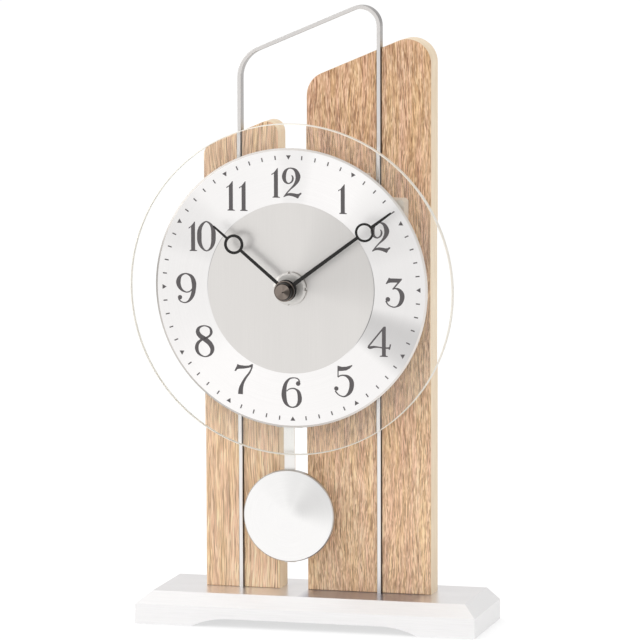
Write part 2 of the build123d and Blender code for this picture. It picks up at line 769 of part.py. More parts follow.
# Battery, lying along X with its nub to the right
battery_left = dial_x - battery_reach / 2
with BuildPart() as battery:
    with BuildSketch(Plane(origin=(0, battery_y, battery_z), x_dir=(1, 0, 0), z_dir=(0, -1, 0))):
        with BuildLine():
            Polyline(
                (battery_left, 0),
                (battery_left, battery_diameter / 2 - battery_shoulder),
                (battery_left + battery_shoulder, battery_diameter / 2),
                (battery_left + battery_length - battery_shoulder, battery_diameter / 2),
                (battery_left + battery_length, battery_diameter / 2 - battery_shoulder),
                (battery_left + battery_length, battery_nub_diameter / 2),
                (battery_left + battery_reach, battery_nub_diameter / 2),
                (battery_left + battery_reach, 0),
                close=True,
            )
        make_face()
    revolve(axis=Axis((0, battery_y, battery_z), (1, 0, 0)))
save(battery, "battery")


def contact(wall_x, inward):
    """A sheet contact against the bay's end wall, bowed towards the battery."""
    sheet = inward * contact_thickness
    bow = inward * contact_bow
    half = contact_height / 2
    with BuildPart() as strip:
        with BuildSketch(Plane((0, battery_y, battery_z - contact_width / 2))):
            with BuildLine():
                ThreePointArc((wall_x, -half), (wall_x + bow, 0), (wall_x, half))
                Line((wall_x, half), (wall_x + sheet, half))
                ThreePointArc((wall_x + sheet, half), (wall_x + sheet + bow, 0), (wall_x + sheet, -half))
                Line((wall_x + sheet, -half), (wall_x, -half))
            make_face()
        extrude(amount=contact_width)
    return strip


minus_contact = contact(dial_x - bay_width / 2, 1)
save(minus_contact, "minus_contact")
plus_contact = contact(dial_x + bay_width / 2, -1)
save(plus_contact, "plus_contact")


def hand(angle, back_y, widths, ring, tip_reach, hub, collar, collar_length, bore):
    """A flat hand with hub, tapering bar, ring and pointer, and a collar behind its hub.

    widths run from the bar's at the hub and at the ring to the pointer's at the ring and at
    its tip; ring is its reach, outer and inner diameter."""
    bar, neck, pointer, tip = widths
    ring_reach, ring_outer, ring_inner = ring
    with BuildPart() as blade:
        with BuildSketch(hand_plane(back_y, angle)):
            Circle(hub / 2)
            with BuildLine():
                Polyline(
                    (-bar / 2, 0),
                    (bar / 2, 0),
                    (neck / 2, ring_reach),
                    (pointer / 2, ring_reach),
                    (tip / 2, tip_reach),
                    (-tip / 2, tip_reach),
                    (-pointer / 2, ring_reach),
                    (-neck / 2, ring_reach),
                    close=True,
                )
            make_face()
            with Locations((0, ring_reach)):
                Circle(ring_outer / 2)
                Circle(ring_inner / 2, mode=Mode.SUBTRACT)
        extrude(amount=hand_thickness)
        with BuildSketch(hand_plane(back_y, angle)):
            Circle(collar / 2)
        extrude(amount=-collar_length)
        with BuildSketch(hand_plane(back_y + collar_length, angle)):
            Circle(bore / 2)
        extrude(amount=collar_length + hand_thickness, mode=Mode.SUBTRACT)
    return blade


hour_hand = hand(
    hour_hand_angle,
    hour_hand_back_y,
    (hour_bar_width, hour_neck_width, hour_pointer_width, hour_tip_width),
    (hour_ring_reach, hour_ring_outer, hour_ring_inner),
    hour_tip_reach,
    hour_hub_diameter,
    hour_collar_diameter,
    hour_collar_length,
    hour_pipe_diameter,
)
save(hour_hand, "hour_hand")
minute_hand = hand(
    minute_hand_angle,
    minute_hand_back_y,
    (minute_bar_width, minute_neck_width, minute_pointer_width, minute_tip_width),
    (minute_ring_reach, minute_ring_outer, minute_ring_inner),
    minute_tip_reach,
    minute_hub_diameter,
    minute_collar_diameter,
    minute_collar_length,
    minute_arbor_diameter,
)
save(minute_hand, "minute_hand")

# Turned cap over the arbor's end
with BuildPart() as hand_cap:
    with BuildSketch(-Plane((dial_x, minute_hand_front_y, dial_z))):
        with BuildLine():
            Polyline(
                (minute_arbor_diameter / 2, 0),
                (cap_base_diameter / 2, 0),
                (cap_base_diameter / 2, cap_rim),
                (cap_neck_diameter / 2, cap_rim),
                (cap_face_diameter / 2 + cap_face_bevel, cap_height - cap_face_bevel),
                (cap_face_diameter / 2, cap_height),
                (0, cap_height - cap_dish),
                (0, cap_bore_depth),
                (minute_arbor_diameter / 2, cap_bore_depth),
                close=True,
            )
        make_face()
    revolve(axis=Axis((dial_x, 0, dial_z), (0, 1, 0)))
save(hand_cap, "hand_cap")

# Pendulum post in the plate's pocket, with the clip that keeps the hanger on it
strip_back_y = pocket_back_y - magnet_proud - hanger_swing_gap - hanger_thickness
hanger_back_y = strip_back_y + hanger_thickness
clip_back_y = strip_back_y - strip_thickness - running_gap
with BuildPart() as pendulum_post:
    with BuildSketch(front_plane(panel_front_y, gap_x, pivot_z)):
        Circle(pivot_post_diameter / 2)
    extrude(amount=panel_front_y - clip_back_y + pivot_clip_thickness)
save(pendulum_post, "pendulum_post")
with BuildPart() as pivot_clip:
    with BuildSketch(front_plane(clip_back_y, gap_x, pivot_z)):
        Circle(pivot_clip_diameter / 2)
        Circle(pivot_post_diameter / 2, mode=Mode.SUBTRACT)
    extrude(amount=pivot_clip_thickness)
save(pivot_clip, "pivot_clip")

# Hanger: round head on the post, narrow neck, broad foot that shows below the dial
with BuildPart() as pendulum_hanger:
    with BuildSketch(front_plane(hanger_back_y, gap_x)):
        with BuildLine():
            Polyline(
                (-hanger_width / 2, hanger_end_z),
                (hanger_width / 2, hanger_end_z),
                (hanger_width / 2, magnet_z),
                (hanger_neck_width / 2, magnet_z + hanger_taper),
                (hanger_neck_width / 2, pivot_z),
                (-hanger_neck_width / 2, pivot_z),
                (-hanger_neck_width / 2, magnet_z + hanger_taper),
                (-hanger_width / 2, magnet_z),
                close=True,
            )
        make_face()
        with Locations((0, pivot_z)):
            Circle(hanger_head_diameter / 2)
            Circle(pivot_post_diameter / 2 + running_gap, mode=Mode.SUBTRACT)
    extrude(amount=hanger_thickness)
    with BuildSketch(front_plane(hanger_back_y, gap_x, magnet_z)):
        Circle(magnet_diameter / 2 + magnet_gap)
    extrude(amount=magnet_thickness - magnet_proud, mode=Mode.SUBTRACT)
    with BuildSketch(front_plane(strip_back_y, gap_x, pivot_z)):
        Circle(pivot_clip_diameter / 2)
        Circle(pivot_post_diameter / 2 + running_gap, mode=Mode.SUBTRACT)
    extrude(amount=strip_thickness)
save(pendulum_hanger, "pendulum_hanger")
with BuildPart() as drive_magnet:
    with BuildSketch(front_plane(hanger_back_y + magnet_proud, gap_x, magnet_z)):
        Circle(magnet_diameter / 2)
    extrude(amount=magnet_thickness)
save(drive_magnet, "drive_magnet")

# Flat pendulum rod on the hanger's front, with the bob in front of its lower end
strip_end = bob_z - bob_diameter / 2 - strip_past_bob
strip_top = pivot_z - pivot_clip_diameter / 2 - strip_top_gap
with BuildPart() as pendulum_rod:
    with BuildSketch(front_plane(strip_back_y, gap_x, (strip_end + strip_top) / 2)):
        Rectangle(strip_width, strip_top - strip_end)
    extrude(amount=strip_thickness)
save(pendulum_rod, "pendulum_rod")
bob_back_y = strip_back_y - strip_thickness
with BuildPart() as bob:
    with BuildSketch(front_plane(bob_back_y, gap_x, bob_z)):
        Circle(bob_diameter / 2)
    extrude(amount=bob_thickness)
    chamfer(bob.faces().sort_by(Axis.Y)[0].edges(), bob_edge_bevel)
save(bob, "bob")
with BuildPart() as bob_clip:
    with BuildSketch(front_plane(strip_back_y + clip_thickness, gap_x, bob_z)):
        Rectangle(clip_width, clip_height)
    extrude(amount=clip_thickness + strip_thickness)
    with BuildSketch(front_plane(strip_back_y + clip_gap, gap_x, bob_z)):
        Rectangle(strip_width + 2 * clip_gap, clip_height)
    extrude(amount=strip_thickness + clip_gap, mode=Mode.SUBTRACT)
save(bob_clip, "bob_clip")

# Pendulum drive: coil behind the pocket's wall, with its board, in the gap of the panels
with BuildPart() as pendulum_coil:
    with BuildSketch(front_plane(panel_front_y + coil_thickness, gap_x, magnet_z)):
        Circle(coil_diameter / 2)
        Circle(coil_bore / 2, mode=Mode.SUBTRACT)
    extrude(amount=coil_thickness)
save(pendulum_coil, "pendulum_coil")
with BuildPart() as pendulum_board:
    with BuildSketch(
        front_plane(panel_front_y + coil_thickness + board_thickness, gap_x, magnet_z)
    ):
        Rectangle(coil_board_width, coil_board_height)
    extrude(amount=board_thickness)
save(pendulum_board, "pendulum_board")
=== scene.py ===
"""Looks of the desk pendulum clock: materials, dial printing, floor, lights and camera."""

import math

import bmesh
import bpy
from mathutils import Matrix, Vector
from mathutils.geometry import tessellate_polygon

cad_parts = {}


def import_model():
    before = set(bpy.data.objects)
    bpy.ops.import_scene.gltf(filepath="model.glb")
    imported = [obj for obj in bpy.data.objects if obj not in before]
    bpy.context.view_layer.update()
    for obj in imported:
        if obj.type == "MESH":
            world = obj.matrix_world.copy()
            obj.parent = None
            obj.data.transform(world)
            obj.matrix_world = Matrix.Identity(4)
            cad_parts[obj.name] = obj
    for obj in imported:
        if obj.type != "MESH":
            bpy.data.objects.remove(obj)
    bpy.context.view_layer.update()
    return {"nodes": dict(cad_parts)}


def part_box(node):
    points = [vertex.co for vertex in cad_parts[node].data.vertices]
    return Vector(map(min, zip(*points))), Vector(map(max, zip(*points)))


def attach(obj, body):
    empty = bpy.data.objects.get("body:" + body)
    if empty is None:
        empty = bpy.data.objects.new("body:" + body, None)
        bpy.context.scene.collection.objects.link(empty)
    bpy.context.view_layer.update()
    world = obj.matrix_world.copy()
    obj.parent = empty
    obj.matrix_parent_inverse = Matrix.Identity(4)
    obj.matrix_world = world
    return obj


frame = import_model()
nodes = frame["nodes"]
MM = 0.001

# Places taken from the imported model
dial_low, dial_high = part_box("dial")
disc_low, disc_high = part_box("dial_centre")
bob_low, bob_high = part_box("bob")
battery_low, battery_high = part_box("battery")
panel_low, panel_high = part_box("right_panel")
DIAL_X = (dial_low.x + dial_high.x) / 2
DIAL_Z = (dial_low.z + dial_high.z) / 2
DIAL_CENTRE = (DIAL_X, DIAL_Z)
DIAL_FRONT = dial_low.y
DIAL_BACK = dial_high.y
DISC_RADIUS = (disc_high.x - disc_low.x) / 2
BOB_CENTRE = ((bob_low.x + bob_high.x) / 2, (bob_low.z + bob_high.z) / 2)

# Camera: the photograph's place, direction and long lens
CAMERA_PLACE = (0.68704, -2.56577, 0.50574)
CAMERA_YAW = math.radians(14.88980)
CAMERA_PITCH = math.radians(7.33955)
CAMERA_ROLL = math.radians(-0.15464)
CAMERA_SENSOR = 36
CAMERA_LENS = 281.25
CAMERA_NEAR = 0.05
CAMERA_FAR = 60


def add_object(name, data):
    """A new object in the scene, made of a mesh, a lamp or a camera."""
    added = bpy.data.objects.new(name, data)
    bpy.context.scene.collection.objects.link(added)
    return added


def camera():
    """Sets the camera, with its axes worked out from yaw, pitch and roll."""
    ahead = (
        -math.sin(CAMERA_YAW) * math.cos(CAMERA_PITCH),
        math.cos(CAMERA_YAW) * math.cos(CAMERA_PITCH),
        -math.sin(CAMERA_PITCH),
    )
    level = (math.cos(CAMERA_YAW), math.sin(CAMERA_YAW), 0.0)
    upright = (
        level[1] * ahead[2],
        -level[0] * ahead[2],
        level[0] * ahead[1] - level[1] * ahead[0],
    )
    cosine, sine = math.cos(CAMERA_ROLL), math.sin(CAMERA_ROLL)
    right = [cosine * part + sine * other for part, other in zip(level, upright)]
    up = [cosine * other - sine * part for part, other in zip(level, upright)]
    behind = [-part for part in ahead]
    lens = bpy.data.cameras.new("camera")
    lens.sensor_width = CAMERA_SENSOR
    lens.lens = CAMERA_LENS
    lens.clip_start = CAMERA_NEAR
    lens.clip_end = CAMERA_FAR
    matrix = Matrix((right, up, behind)).transposed().to_4x4()
    matrix.translation = CAMERA_PLACE
    view = add_object("camera", lens)
    view.matrix_world = matrix
    bpy.context.scene.camera = view


camera()


# Node trees
SOCKETS = {
    "color": "Base Color",
    "metal": "Metallic",
    "rough": "Roughness",
    "ior": "IOR",
    "coat": "Coat Weight",
    "coat_rough": "Coat Roughness",
    "spec": "Specular IOR Level",
    "aniso": "Anisotropic",
    "through": "Transmission Weight",
}


class Tree:
    """A node tree, with the few nodes that the looks below are made of."""

    def __init__(self, owner):
        owner.use_nodes = True
        self.nodes = owner.node_tree.nodes
        self.links = owner.node_tree.links
        self.coords = self.new("TexCoord").outputs

    def new(self, kind):
        return self.nodes.new("ShaderNode" + kind)

    def put(self, socket, value):
        """Sets a socket, or links it to another; a colour of three parts gets its alpha."""
        if isinstance(value, bpy.types.NodeSocket):
            self.links.new(value, socket)
        elif socket.type == "RGBA" and len(value) == 3:
            socket.default_value = (*value, 1.0)
        else:
            socket.default_value = value

    def math(self, operation, first, second=0.0):
        node = self.new("Math")
        node.operation = operation
        self.put(node.inputs[0], first)
        self.put(node.inputs[1], second)
        return node.outputs[0]

    def plus(self, first, second):
        return self.math("ADD", first, second)

    def minus(self, first, second):
        return self.math("SUBTRACT", first, second)

    def times(self, first, second):
        return self.math("MULTIPLY", first, second)

    def weighed(self, first, share, second):
        """Both added up, with this share of the first and the rest of the second."""
        return self.plus(self.times(first, share), self.times(second, 1 - share))

    def length(self, x, z):
        return self.math("SQRT", self.plus(self.times(x, x), self.times(z, z)))

    def span(self, value, low, high, to_low=0.0, to_high=1.0, smooth=False):
        """A value between low and high, taken to between to_low and to_high."""
        node = self.new("MapRange")
        if smooth:
            node.interpolation_type = "SMOOTHSTEP"
        for socket, given in zip(node.inputs, (value, low, high, to_low, to_high)):
            self.put(socket, given)
        return node.outputs[0]

    def choose(self, switch, off, on):
        """The number off where the switch is 0, and on where it is 1."""
        node = self.new("Mix")
        self.put(node.inputs[0], switch)
        self.put(node.inputs[2], off)
        self.put(node.inputs[3], on)
        return node.outputs[0]

    def mix(self, share, first, second, blend="MIX"):
        """Two colours mixed, with this share of the second."""
        node = self.new("Mix")
        node.data_type = "RGBA"
        node.blend_type = blend
        node.clamp_result = True
        self.put(node.inputs[0], share)
        self.put(node.inputs[6], first)
        self.put(node.inputs[7], second)
        return node.outputs[2]

    def ramp(self, value, *stops):
        """Colours that change along a value; each stop is a position and its colour."""
        node = self.new("ValToRGB")
        self.put(node.inputs[0], value)
        elements = node.color_ramp.elements
        for element, (at, colour) in zip(elements, (stops[0], stops[-1])):
            element.position = at
            element.color = (*colour, 1)
        for at, colour in stops[1:-1]:
            elements.new(at).color = (*colour, 1)
        return node.outputs["Color"]

    def split(self, vector):
        node = self.new("SeparateXYZ")
        self.put(node.inputs[0], vector)
        return node.outputs

    def join(self, x, y, z):
        node = self.new("CombineXYZ")
        for socket, value in zip(node.inputs, (x, y, z)):
            self.put(socket, value)
        return node.outputs[0]

    def around(self, centre):
        """How far a point lies to the right of a centre on the clock's front, and above it."""
        place = self.split(self.coords["Object"])
        return self.minus(place[0], centre[0]), self.minus(place[2], centre[1])

    def scaled(self, scale, turn=(0, 0, 0), at=None):
        """Coordinates, the object's own where none are given, turned and scaled."""
        node = self.new("Mapping")
        node.inputs["Scale"].default_value = scale
        node.inputs["Rotation"].default_value = turn
        self.put(node.inputs["Vector"], at or self.coords["Object"])
        return node.outputs["Vector"]

    def noise(self, scale, detail=2.0, rough=0.5, turn=(0, 0, 0), at=None, warp=0.0):
        """Noise with so many waves to the metre along x, y and z."""
        return self.noise_on(self.scaled(scale, turn, at), detail, rough, warp)

    def noise_on(self, vector, detail, rough, warp=0.0):
        node = self.new("TexNoise")
        self.put(node.inputs["Vector"], vector)
        node.inputs["Scale"].default_value = 1.0
        node.inputs["Detail"].default_value = detail
        node.inputs["Roughness"].default_value = rough
        node.inputs["Distortion"].default_value = warp
        return node.outputs["Fac"]


class Finish(Tree):
    """A material with its node tree."""

    def __init__(self, name):
        self.material = bpy.data.materials.new(name)
        super().__init__(self.material)
        self.shader = self.nodes["Principled BSDF"]
        self.surface = self.nodes["Material Output"].inputs["Surface"]

    def set(self, **values):
        for name, value in values.items():
            self.put(self.shader.inputs[SOCKETS[name]], value)

    def front(self):
        """1 on what faces the front or the back, and 0 on what faces sideways, up or down."""
        return self.math("ABSOLUTE", self.split(self.coords["Normal"])[1])

    def bump(self, height, strength, depth):
        node = self.new("Bump")
        node.inputs["Strength"].default_value = strength
        node.inputs["Distance"].default_value = depth
        self.put(node.inputs["Height"], height)
        self.put(self.shader.inputs["Normal"], node.outputs[0])

    def show(self, share, first, second):
        """Shows two shaders mixed, with this share of the second."""
        mixer = self.new("MixShader")
        self.put(mixer.inputs[0], share)
        self.put(mixer.inputs[1], first.outputs[0])
        self.put(mixer.inputs[2], second.outputs[0])
        self.put(self.surface, mixer.outputs[0])


def srgb(red, green, blue):
    """Linear colour of 8-bit display values."""
    parts = []
    for value in (red / 255, green / 255, blue / 255):
        parts.append(value / 12.92 if value <= 0.04045 else ((value + 0.055) / 1.055) ** 2.4)
    return tuple(parts)


def toned(colour, factor):
    """A colour made darker or lighter, no brighter than white."""
    return tuple(min(1.0, part * factor) for part in colour)


def dress(material, *names):
    """Gives a material to CAD nodes."""
    for name in names:
        slots = nodes[name].data.materials
        slots.clear()
        slots.append(material)


def speckled(name, colour, rough, amount=0.06, size=900.0, bump=0.05, **more):
    """A plain finish with the fine mottle, uneven gloss and slight grain that such parts have."""
    tree = Finish(name)
    fine = tree.noise((size, size, size), 3.0, 0.6)
    broad = tree.noise((40, 40, 40))
    shade = tree.weighed(fine, 0.6, broad)
    dark, light = toned(colour, 1 - amount), toned(colour, 1 + amount)
    tree.set(color=tree.ramp(shade, (0.25, dark), (0.75, light)), **more)
    tree.set(rough=tree.span(shade, 0.3, 0.7, rough - 0.06, rough + 0.06))
    tree.bump(fine, bump, 0.1 * MM)
    return tree.material


# Boards: colours of the grain, of its flecks and strokes, of its warm patches and of the edging
OAK_DARK = srgb(146, 109, 79)
OAK_BROWN = srgb(198, 159, 124)
OAK_TAN = srgb(220, 181, 146)
OAK_PALE = srgb(252, 220, 184)
OAK_MEAN = srgb(207, 168, 133)
OAK_FLECK = srgb(253, 225, 190)
OAK_STROKE = srgb(140, 102, 74)
OAK_BLUSH = srgb(230, 186, 164)
OAK_HUES = ((0.35, (1.0, 0.99, 0.86)), (0.5, (1.0, 0.985, 0.97)), (0.65, (1.0, 0.93, 0.98)))
EDGE_CREAM = srgb(244, 222, 192)
EDGE_IVORY = srgb(252, 234, 206)
# How far the fibres sway, how much flecks and strokes lean, and the heights between which
# painted light lightens the wood
OAK_SWAY = 9 * MM
OAK_LEAN = 0.12
PAINTED_LIGHT_TOP = 0.30
PAINTED_LIGHT_FOOT = 0.03


def oak(name, seed, pale, run):
    """Oak-grain face with pale edging.

    seed moves the grain, pale says how much painted light lightens the wood at the board's top
    and at its foot, and run lengthens the strokes."""
    tree = Finish(name)
    shift = tree.new("Mapping")
    shift.inputs["Location"].default_value = (seed, 0, seed * 0.7)
    tree.put(shift.inputs["Vector"], tree.coords["Object"])
    at = shift.outputs["Vector"]
    # fibres wander sideways as they rise
    x, y, z = tree.split(at)
    sway = tree.minus(tree.noise((30, 30, 14), at=at), 0.5)
    grain = tree.join(tree.plus(x, tree.times(sway, OAK_SWAY)), y, z)
    lean = OAK_LEAN / run
    fibre = tree.noise((1150, 1150, 58 / run), 4.0, 0.66, at=grain, warp=0.2)
    fine = tree.noise((2300, 2300, 210 / run), 2.0, 0.6, at=grain)
    fleck = tree.noise((1900, 1900, 260 / run), 1.0, 0.5, turn=(0, lean, 0), at=grain)
    stroke = tree.noise((1650, 1650, 80 / run), 2.0, 0.55, turn=(0, -lean, 0), at=grain)
    broad = tree.noise((45, 45, 8), 3.0, 0.5, at=grain)
    drift = tree.noise((330, 330, 22), 3.0, 0.6, at=grain)
    tone = tree.weighed(fibre, 0.45, fine)
    wood = tree.ramp(
        tone, (0.39, OAK_DARK), (0.465, OAK_BROWN), (0.535, OAK_TAN), (0.61, OAK_PALE)
    )
    light = tree.span(fleck, 0.54, 0.66, 0.0, 0.70, smooth=True)
    dark = tree.span(stroke, 0.58, 0.66, 0.0, 0.62, smooth=True)
    warm = tree.span(broad, 0.35, 0.65, 0.0, 0.22, smooth=True)
    wood = tree.mix(light, wood, OAK_FLECK)
    wood = tree.mix(dark, wood, OAK_STROKE)
    wood = tree.mix(warm, wood, OAK_BLUSH, "MULTIPLY")
    wood = tree.mix(1.0, wood, tree.ramp(drift, *OAK_HUES), "MULTIPLY")
    # painted light, stronger towards the board's foot, adds to the wood, so that the grain keeps
    # its contrast
    height = tree.split(tree.coords["Object"])[2]
    painted_lift = [most - mean for most, mean in zip(OAK_PALE, OAK_MEAN)]
    wood = tree.mix(tree.span(height, PAINTED_LIGHT_TOP, PAINTED_LIGHT_FOOT, *pale), wood, painted_lift, "ADD")
    # pale edging on the sides, top and bottom
    edge = tree.span(tree.front(), 0.45, 0.75, 1.0, 0.0, smooth=True)
    lines = tree.noise((60, 300, 60), at=at)
    cream = tree.ramp(lines, (0.3, EDGE_CREAM), (0.7, EDGE_IVORY))
    tree.set(color=tree.mix(edge, wood, cream), spec=0.35)
    tree.set(rough=tree.span(tone, 0.35, 0.65, 0.72, 0.55))
    relief = tree.minus(tree.plus(tone, tree.times(light, 0.3)), tree.times(dark, 0.5))
    tree.bump(tree.times(relief, tree.minus(1.0, edge)), 0.6, 0.5 * MM)
    return tree.material


dress(oak("oak_left", 0.0, (0.28, 0.60), 2.6), "left_panel")
dress(oak("oak_right", 0.41, (0.0, 0.36), 1.15), "right_panel")


# Metals. The shade that light gives a turned face is painted into its colour in parts: each is a
# clock angle, half of its width and its loss of light
DIAL_PAINTED_SHADE = (
    (115, 15, 0.26), (85, 42, 0.11), (300, 17, 0.10),
    (265, 40, 0.07), (55, 22, 0.08), (2, 10, 0.07),
)
DIAL_EDGE_PAINTED_SHADE = ((302, 55, 0.48), (250, 50, 0.22), (190, 50, 0.22))
DISC_SHADOW_LINE_SHADE = ((100, 40, 0.60), (292, 38, 0.40))
DISC_PAINTED_SHADE = ((62, 50, 0.12),)
BOB_PAINTED_SHADE = ((42, 60, 0.13), (68, 46, 0.10), (345, 40, 0.04))
CAP_PAINTED_SHADE = ((95, 48, 0.72), (20, 30, 0.2), (200, 40, 0.2))
BOB_SOFT_CENTRE = 9 * MM
# Width and blur of the painted shadow line round the centre disc
SHADOW_LINE_WIDTH = 0.5 * MM
SHADOW_LINE_BLUR = 0.1 * MM
RING_DRIFT = 1.5
NEXT_TO_NOTHING = 1e-5


def shaded(tree, tone, x, z, parts, soft_centre=0.0):
    """A turned face's colour, darkened by painted shade in these parts; the loss fades away inside
    soft_centre.
    """
    reach = tree.length(x, z)
    kept = 1.0
    for clock_angle, half_width, loss in parts:
        angle = math.radians(clock_angle)
        along = tree.plus(tree.times(x, math.sin(angle)), tree.times(z, math.cos(angle)))
        along = tree.math("DIVIDE", along, tree.math("MAXIMUM", reach, NEXT_TO_NOTHING))
        start = math.cos(math.radians(half_width))
        kept = tree.minus(kept, tree.span(along, start, 1.0, 0.0, loss, smooth=True))
    if soft_centre:
        fade = tree.span(reach, 0.0, soft_centre, smooth=True)
        kept = tree.minus(1.0, tree.times(tree.minus(1.0, kept), fade))
    return tree.mix(1.0, tone, kept, "MULTIPLY")


def disc_line(tree, x, z):
    """1 on the fine painted shadow line where the dial meets the disc on its middle, and 0
    elsewhere.
    """
    reach = tree.length(x, z)
    line_end = DISC_RADIUS + SHADOW_LINE_WIDTH
    inside = tree.span(reach, DISC_RADIUS, DISC_RADIUS + SHADOW_LINE_BLUR)
    outside = tree.span(reach, line_end - SHADOW_LINE_BLUR, line_end, 1.0, 0.0)
    return tree.times(inside, outside)


def spun(
    name, colour, side, centre, rough,
    rings=9000.0, aniso=0.4, parts=(), soft_centre=0.0, shadow_line_parts=(), edge_shade_parts=(),
):
    """Metal turned round a centre.

    rings is how many waves of its fine rings go to the metre. parts paint shade on what faces the
    front, and shadow_line_parts on the shadow line round the disc that lies on it. side is the
    colour of what faces sideways, up or down, a painted shade darker than the face, and
    edge_shade_parts paint more shade on it."""
    tree = Finish(name)
    x, z = tree.around(centre)
    angle = tree.math("ARCTAN2", z, x)
    ring = tree.join(
        tree.times(tree.length(x, z), rings),
        tree.times(tree.math("COSINE", angle), RING_DRIFT),
        tree.times(tree.math("SINE", angle), RING_DRIFT),
    )
    line = tree.noise_on(ring, 2.0, 0.6)
    face = tree.ramp(line, (0.3, toned(colour, 0.97)), (0.7, toned(colour, 1.03)))
    if parts:
        face = shaded(tree, face, x, z, parts, soft_centre)
    if shadow_line_parts:
        face = tree.mix(disc_line(tree, x, z), face, shaded(tree, face, x, z, shadow_line_parts))
    if edge_shade_parts:
        side = shaded(tree, side, x, z, edge_shade_parts)
    # what faces sideways takes the side colour, a painted shade
    sideways = tree.span(tree.front(), 0.93, 0.98, 1.0, 0.0)
    tree.set(color=tree.mix(sideways, face, side), metal=1.0, aniso=aniso)
    tree.set(rough=tree.span(line, 0.3, 0.7, rough - 0.03, rough + 0.04))
    tangent = tree.new("Tangent")
    tangent.direction_type = "RADIAL"
    tangent.axis = "Y"
    tree.put(tree.shader.inputs["Tangent"], tangent.outputs[0])
    tree.bump(line, 0.10, 0.03 * MM)
    return tree.material


def brushed(name, colour, rough, along=(6000, 6000, 60), amount=0.04, shading=None):
    """Metal drawn in one direction; shading is a function that shades its colour."""
    tree = Finish(name)
    line = tree.noise(along, 3.0, 0.65)
    broad = tree.noise((along[0] / 40, along[1] / 40, 8))
    shade = tree.weighed(line, 0.6, broad)
    dark, light = toned(colour, 1 - amount), toned(colour, 1 + amount)
    tone = tree.ramp(shade, (0.3, dark), (0.7, light))
    if shading:
        tone = shading(tree, tone)
    tree.set(color=tone, metal=1.0)
    tree.set(rough=tree.span(shade, 0.3, 0.7, rough - 0.04, rough + 0.05))
    tree.bump(line, 0.08, 0.03 * MM)
    return tree.material


def disc_shading(tree, tone):
    """Painted shade: the centre disc is darker towards two o'clock."""
    x, z = tree.around(DIAL_CENTRE)
    return shaded(tree, tone, x, z, DISC_PAINTED_SHADE)


# Painted shade of the bar's sides and of its loop above the dial
BAR_SIDE_SHADE = srgb(194, 192, 191)
BAR_UPPER_SHADE = srgb(222, 220, 219)
UPPER_SHADE_FROM = 0.20
UPPER_SHADE_TO = 0.28


def bar_shading(tree, tone):
    """Painted shade: the bar's sides are darker than its face, and it is darker above the dial."""
    tone = tree.mix(tree.span(tree.front(), 0.5, 0.9, 1.0, 0.0), tone, BAR_SIDE_SHADE)
    height = tree.split(tree.coords["Object"])[2]
    return tree.mix(tree.span(height, UPPER_SHADE_FROM, UPPER_SHADE_TO, 0.0, 0.75), tone, BAR_UPPER_SHADE, "MULTIPLY")


# The second colour of each turned metal is the painted shade of its sides
dial_silver = spun(
    "dial_silver", srgb(249, 247, 246), srgb(226, 221, 216), DIAL_CENTRE, 0.36,
    parts=DIAL_PAINTED_SHADE, shadow_line_parts=DISC_SHADOW_LINE_SHADE, edge_shade_parts=DIAL_EDGE_PAINTED_SHADE,
)
bob_spun = spun(
    "bob_spun", srgb(248, 247, 246), srgb(196, 193, 190), BOB_CENTRE, 0.36,
    aniso=0.0, parts=BOB_PAINTED_SHADE, soft_centre=BOB_SOFT_CENTRE,
)
cap_dark = spun(
    "cap_dark", srgb(140, 129, 121), srgb(24, 21, 19), DIAL_CENTRE, 0.34,
    rings=6000.0, aniso=0.5, parts=CAP_PAINTED_SHADE,
)
nut_nickel = spun(
    "nut_nickel", srgb(214, 211, 207), srgb(206, 203, 199), DIAL_CENTRE, 0.42,
    rings=4000.0, aniso=0.3,
)
dial_brushed = brushed(
    "dial_brushed", srgb(223, 220, 217), 0.33, (2600, 2600, 30), 0.03, disc_shading
)
bar_steel = brushed(
    "bar_steel", srgb(240, 238, 236), 0.38, (2400, 2400, 200), shading=bar_shading
)
screw_steel = brushed("screw_steel", (0.60, 0.60, 0.60), 0.28, (800, 800, 800))
contact_steel = brushed("contact_steel", (0.68, 0.67, 0.64), 0.26, (900, 900, 900))
magnet_nickel = brushed("magnet_nickel", (0.64, 0.63, 0.62), 0.18, (700, 700, 700))
arbor_brass = brushed("arbor_brass", (0.66, 0.50, 0.25), 0.22, (300, 6000, 300))
dress(dial_silver, "dial")
dress(bob_spun, "bob")
dress(cap_dark, "hand_cap")
dress(nut_nickel, "front_washer", "fixing_nut")
dress(dial_brushed, "dial_centre")
dress(bar_steel, "wire_frame")
dress(brushed("rod_satin", srgb(238, 236, 233), 0.30), "pendulum_rod")
dress(screw_steel, "base_screws", "plate_screws", "wheel_post", "pendulum_post")
dress(contact_steel, "minus_contact", "plus_contact", "pivot_clip")
dress(magnet_nickel, "drive_magnet")
dress(arbor_brass, "minute_arbor")

# Painted dark reflection of the right board on the polished top
PAINTED_REFLECTION = srgb(184, 182, 192)
REFLECTION_MARGIN = 1 * MM
REFLECTION_FADE_LEFT = 4 * MM
REFLECTION_FADE_RIGHT = 6 * MM


